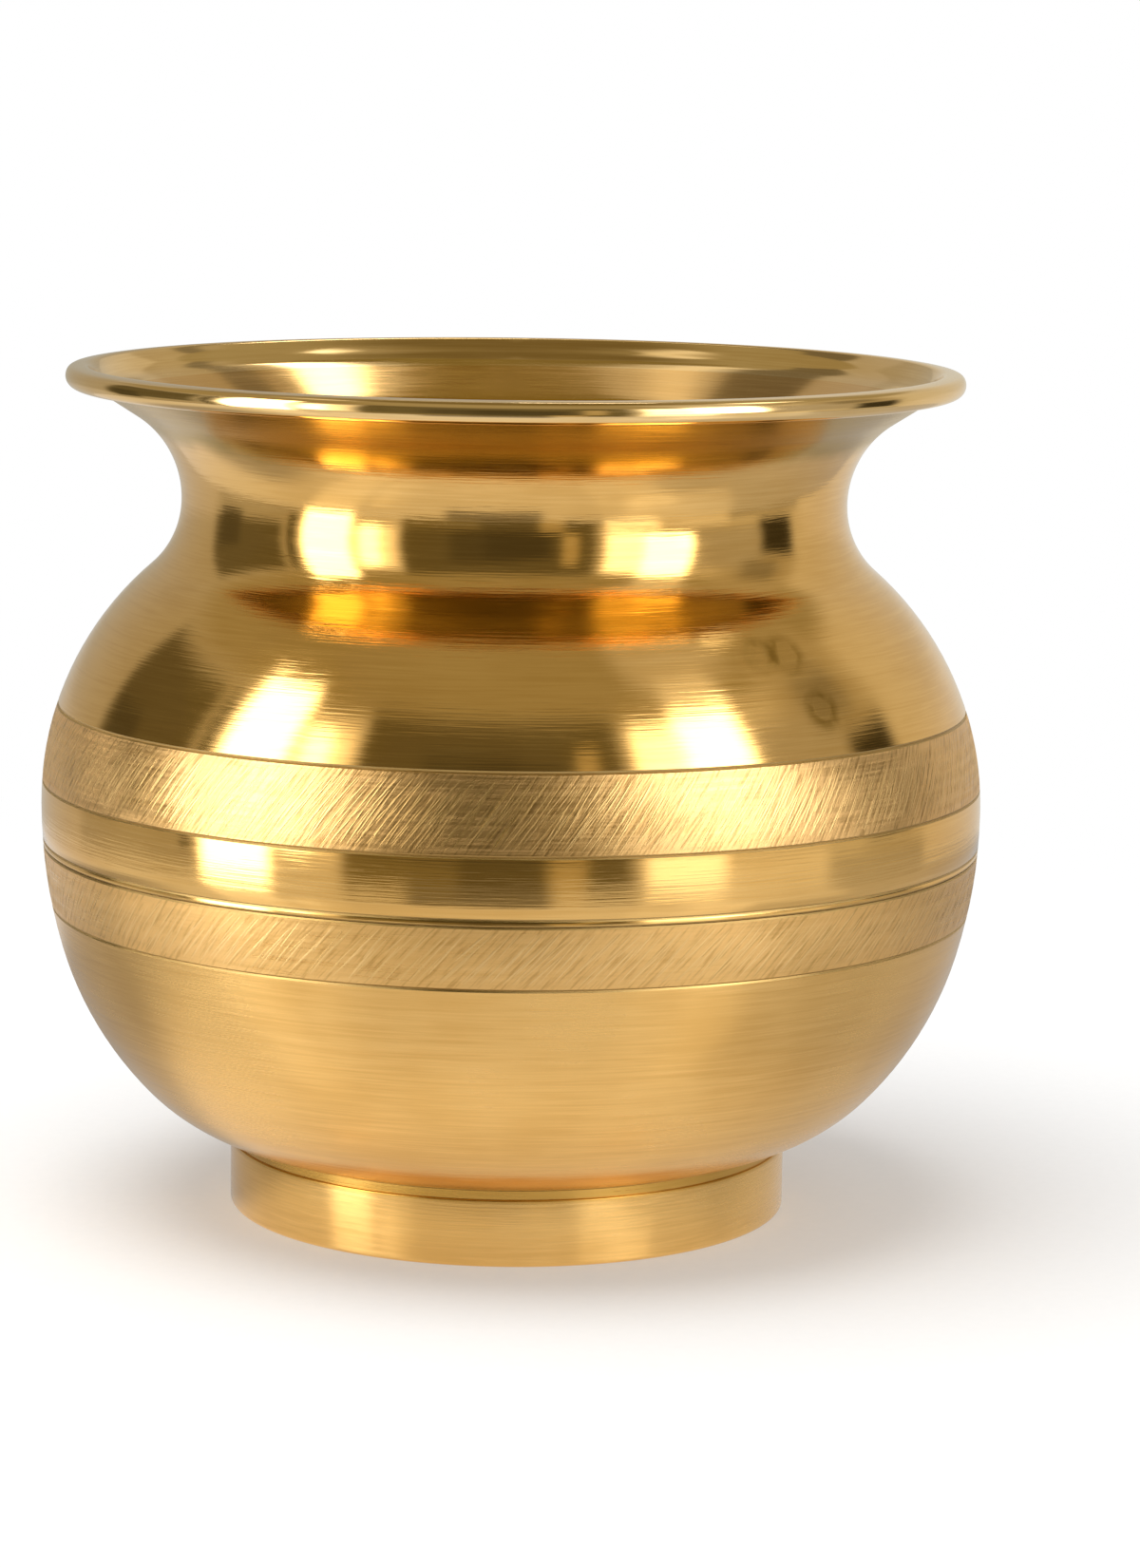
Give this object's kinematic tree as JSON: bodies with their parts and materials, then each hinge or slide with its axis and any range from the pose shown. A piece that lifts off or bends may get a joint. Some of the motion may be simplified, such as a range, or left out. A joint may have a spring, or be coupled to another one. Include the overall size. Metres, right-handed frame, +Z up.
{
  "type": "brass kalash pot",
  "caption": "Round-bellied brass water pot with a short neck, a wide flared mouth with a wired lip, turned bands round the belly and a low hoop foot.",
  "frame": {"origin": "centre of the foot's underside, where the pot stands", "axes": "+Z up along the axis the pot is turned about; the pot is round, so +X and +Y are any two directions square to it"},
  "size_m": [0.089, 0.089, 0.08],
  "materials": {
    "spun_brass": "lathe polished, with fine turned lines and two hatched bands",
    "foot_brass": "satin turned",
    "wire_brass": "drawn wire, hidden in the lip",
    "spelter": "matt brazing spelter, as it ran"
  },
  "bodies": {
    "root": {"upper_shell": "spun_brass", "lower_bowl": "spun_brass", "rim_wire": "wire_brass", "foot_ring": "foot_brass", "belly_braze": "spelter", "foot_braze": "spelter"}
  },
  "joints": []
}
